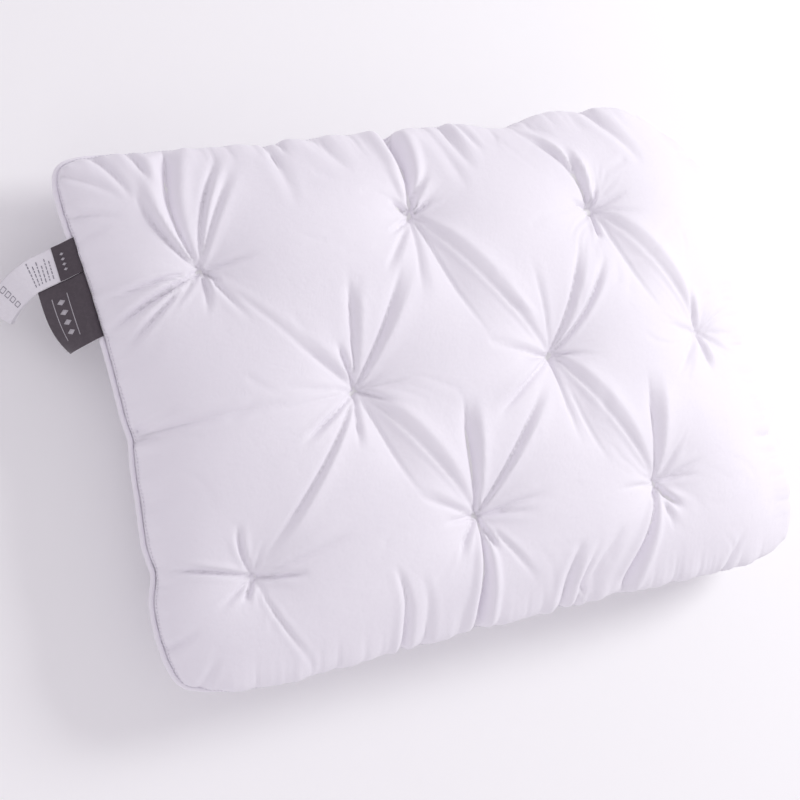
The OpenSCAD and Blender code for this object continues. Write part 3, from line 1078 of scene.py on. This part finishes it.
def brand_point(out, across):
    """The woven label, with a slight roll across it so that its two corners lift differently."""
    share = max(0.0, -across / BRAND_L)
    point, normal = label_place(out, across, 8 + 30 * share, 20 + 68 * share ** 1.5, BRAND_OUT)
    roll = 1.2 * (max(0.0, out) / BRAND_OUT) ** 2 * math.sin(math.pi * share)
    return point + normal * roll, normal


def sheet_between(name, place, outs, acrosses, thickness):
    upper, lower = [], []
    for across in acrosses:
        for out in outs:
            point, normal = place(out, across)
            upper.append(point + normal * thickness / 2)
            lower.append(point - normal * thickness / 2)
    shape = (len(acrosses), len(outs), 3)
    piece = shell_between(name, np.reshape(upper, shape), np.reshape(lower, shape))
    volume_fix(piece)
    return piece


def finish_label(piece, material):
    """Gives a label its material and bakes its placement into the mesh; the label is not attached to any
    body.
    """
    piece.data.materials.append(material)
    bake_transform(piece)


def volume_fix(piece):
    """Turns a closed mesh the right way out."""
    mesh = piece.data
    mesh.calc_loop_triangles()
    co = np.array([v.co for v in mesh.vertices])
    tri = np.array([t.vertices for t in mesh.loop_triangles])
    a, b, c = co[tri[:, 0]], co[tri[:, 1]], co[tri[:, 2]]
    if np.einsum("ij,ij->i", a, np.cross(b, c)).sum() < 0:
        mesh.flip_normals()


brand = sheet_between("brand_label_cloth", brand_point, np.linspace(ROOT, BRAND_OUT, 41),
                      np.linspace(-BRAND_L, -0.1, 45), BRAND_T)
finish_label(brand, woven_label)
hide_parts("brand_label")


PATCH_TOP, PATCH_LOW = 0.35 + 0.12, 0.2  # from the middle of the label's cloth


def raised_patch(place, outline):
    """A small embroidered patch on a label: outline points are (out, across)."""
    top, low = [], []
    for out, across in outline:
        point, normal = place(out, across)
        top.append(point + normal * PATCH_TOP)
        low.append(point + normal * PATCH_LOW)
    n = len(outline)
    faces = [list(range(n)), [n + k for k in range(n)][::-1]]
    faces += [[k, n + k, n + (k + 1) % n, (k + 1) % n] for k in range(n)]
    return top + low, faces


def diamond(place, out, across, long, wide):
    ring = [(out + long, across), (out, across + wide), (out - long, across), (out, across - wide)]
    return raised_patch(place, ring)


def bar(place, out, across, length, width):
    return raised_patch(place, [(out - width, across - length), (out + width, across - length),
                                (out + width, across + length), (out - width, across + length)])


def finish_motif(name, bits, body, slot_name, material):
    piece = join_bits(name, bits)
    volume_fix(piece)
    finish_piece(piece, body, slot_name, material)


def brand_motif():
    """A plain row of diamonds and two rules, in place of a name."""
    bits = []
    for k in range(4):
        across = -BRAND_L / 2 + (k - 1.5) * 9
        bits.append(diamond(brand_point, BRAND_OUT * 0.52, across, 4.0, 2.6))
    for out in (BRAND_OUT * 0.32, BRAND_OUT * 0.72):
        for k in range(16):
            bits.append(bar(brand_point, out, -BRAND_L / 2 + (k - 7.5) * 2.4, 1.25, 0.35))
    finish_motif("brand_label_motif", bits, "brand_label", "woven_label", label_motif)


brand_motif()


CARE_STRAIGHT, CARE_TURN = 28.0, math.radians(46)  # it runs straight, then turns by this
CARE_DROOP = (4, 52)  # degrees, at its root and at its tip
HEAD_LIFT, HEAD_MOTIF_LIFT = 0.45 + 0.45, 0.45 + 0.5
FOLD_LENGTH = 2  # what the fold at its tip takes


def care_point(out, across, lift):
    """The care label: straight beside the woven label, then turning down the side and curling under."""
    flat_out, out = out, max(0.0, out)
    r = (CARE_L - CARE_STRAIGHT) / CARE_TURN
    a = CARE_TURN * max(0.0, out - CARE_STRAIGHT) / (CARE_L - CARE_STRAIGHT)
    side = across - CARE_W * 0.5
    run = min(out, CARE_STRAIGHT) + (r + side) * math.sin(a)
    over = (r + side) * math.cos(a) - r + CARE_W * 0.5
    low, high = (math.sin(math.radians(angle)) for angle in CARE_DROOP)
    share = out / CARE_L
    drop = CARE_L * (share * low + 0.5 * share ** 2 * (high - low))
    crest = 2.2 * math.exp(-((out - 45) / 12) ** 2)
    crest = crest + 2.0 * share ** 2 * math.sin(across / CARE_W * math.pi)
    slope = math.radians(CARE_DROOP[0] + (CARE_DROOP[1] - CARE_DROOP[0]) * share)
    shrink = 1 - 0.05 * share
    run = run * shrink + min(0.0, flat_out)
    point = (HINGE + OUT * run * math.cos(LEAN) + ALONG * (over - run * math.sin(LEAN))
             + UP * (crest - drop + over_piping(flat_out)))
    normal = UP * math.cos(slope) + OUT * math.sin(slope)
    return point + normal * lift, normal


def ply_gap(out):
    """Half the space between the care label's two plies."""
    return 0.45 + 1.6 * (out / CARE_L) ** 2


def care_section():
    """Across the care label's thickness, as (out, lift): one ply out, round the fold, and back."""
    tip = CARE_L - FOLD_LENGTH
    upper = [(out, ply_gap(out)) for out in np.linspace(ROOT, tip, 58)]
    fold = [(tip + FOLD_LENGTH * math.sin(a), ply_gap(tip) * math.cos(a))
            for a in np.linspace(0.3, math.pi - 0.3, 7)]
    lower = [(out, -ply_gap(out)) for out in np.linspace(tip, ROOT, 58)]
    return upper + fold + lower


def care_label():
    """One strip folded in two at its tip: both plies, round the fold and back."""
    section = care_section()
    middle = np.array([
        [np.array(care_point(out, across, lift)[0]) for out, lift in section]
        for across in np.linspace(0.4, CARE_W, 22)
    ])
    n = normals(middle)
    piece = shell_between("care_label_strip", middle + n * CARE_T / 2, middle - n * CARE_T / 2)
    volume_fix(piece)
    return piece


care = care_label()
finish_label(care, satin_label)
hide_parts("care_label")


def on_care(out, across):
    return care_point(out, across, ply_gap(out) - 0.1)


def on_head(out, across):
    return care_point(out, across, HEAD_LIFT)


def over_head(out, across):
    return care_point(out, across, HEAD_MOTIF_LIFT)


def care_head():
    """The woven band that covers the care label where it is sewn in."""
    piece = sheet_between("care_label_head", on_head, np.linspace(ROOT, 14, 26),
                          np.linspace(0.1, CARE_W + 0.3, 24), HEAD_T)
    finish_label(piece, woven_label)


care_head()


def care_head_motif():
    """Four small diamonds, in place of a name."""
    bits = [diamond(over_head, 6.5, CARE_W / 2 + (k - 1.5) * 4.6, 2.0, 1.3) for k in range(4)]
    finish_motif("care_label_head_motif", bits, "care_label", "woven_label", label_motif)


care_head_motif()


BOXES_OUT, BOX_HALF, BOX_LINE = 60, 2.0, 0.25


def care_print():
    """Rows of short bars and plain outlines, in place of the printed words and washing marks."""
    rng = np.random.default_rng(5)
    bits = []
    for row in range(6):
        out = 19 + row * 3.6
        across = 5.0
        end = CARE_W - 4 - rng.uniform(0, 7)
        while across < end:
            half = rng.uniform(0.8, 1.9)
            bits.append(bar(on_care, out, across + half, half, 0.42))
            across += 2 * half + 1.0
    for k in range(4):
        across = 5.5 + k * 6.4
        for shift in (BOX_HALF, -BOX_HALF):
            bits.append(bar(on_care, BOXES_OUT + shift, across, BOX_HALF, BOX_LINE))
        for shift in (-BOX_HALF, BOX_HALF):
            bits.append(bar(on_care, BOXES_OUT, across + shift, BOX_LINE, BOX_HALF))
    finish_motif("care_label_print", bits, "care_label", "satin_label", label_print)


care_print()


# ---------------- camera, lights and floor

def add_camera():
    """The photograph's viewing angle, from the camera fit."""
    data = bpy.data.cameras.new("camera")
    camera = add_object("camera", data)
    right = Vector((0.8853, -0.2147, 0.4125)).normalized()
    back = Vector((-0.4354, -0.0714, 0.8974))
    back = (back - right * back.dot(right)).normalized()
    up = back.cross(right)
    place = Vector((-0.764, -0.129, 1.448 + SEAM_Z * MM))
    camera.matrix_world = Matrix((
        (right.x, up.x, back.x, place.x),
        (right.y, up.y, back.y, place.y),
        (right.z, up.z, back.z, place.z),
        (0, 0, 0, 1),
    ))
    data.lens = 76.5
    data.sensor_width = 36
    data.clip_end = 50
    bpy.context.scene.camera = camera


def area_light(name, place, target, size, power):
    data = bpy.data.lights.new(name, "AREA")
    data.shape = "SQUARE"
    data.size = size
    data.energy = power
    lamp = add_object(name, data)
    lamp.location = place
    lamp.rotation_euler = (Vector(target) - Vector(place)).to_track_quat("-Z", "Y").to_euler()


def add_floor():
    mesh = bpy.data.meshes.new("floor")
    mesh.from_pydata([(-6, -6, 0), (6, -6, 0), (6, 6, 0), (-6, 6, 0)], [], [[0, 1, 2, 3]])
    floor = add_object("floor", mesh)
    floor.location.z = -0.0005
    mesh.materials.append(material("floor_paint", (0.97, 0.97, 0.97), 0.8)[0])


def add_world():
    world = bpy.data.worlds.new("studio")
    bpy.context.scene.world = world
    world.use_nodes = True
    background = world.node_tree.nodes["Background"]
    background.inputs["Color"].default_value = (1.0, 0.95, 1.03, 1)
    background.inputs["Strength"].default_value = 0.66


add_camera()
add_floor()
add_world()
area_light("key", (2.05, 0.45, 1.5), (0, -0.05, 0.05), 0.85, 30)
area_light("fill", (-1.2, -1.4, 1.3), (0, 0, 0.05), 1.4, 3)
bpy.context.scene.view_settings.view_transform = "Standard"
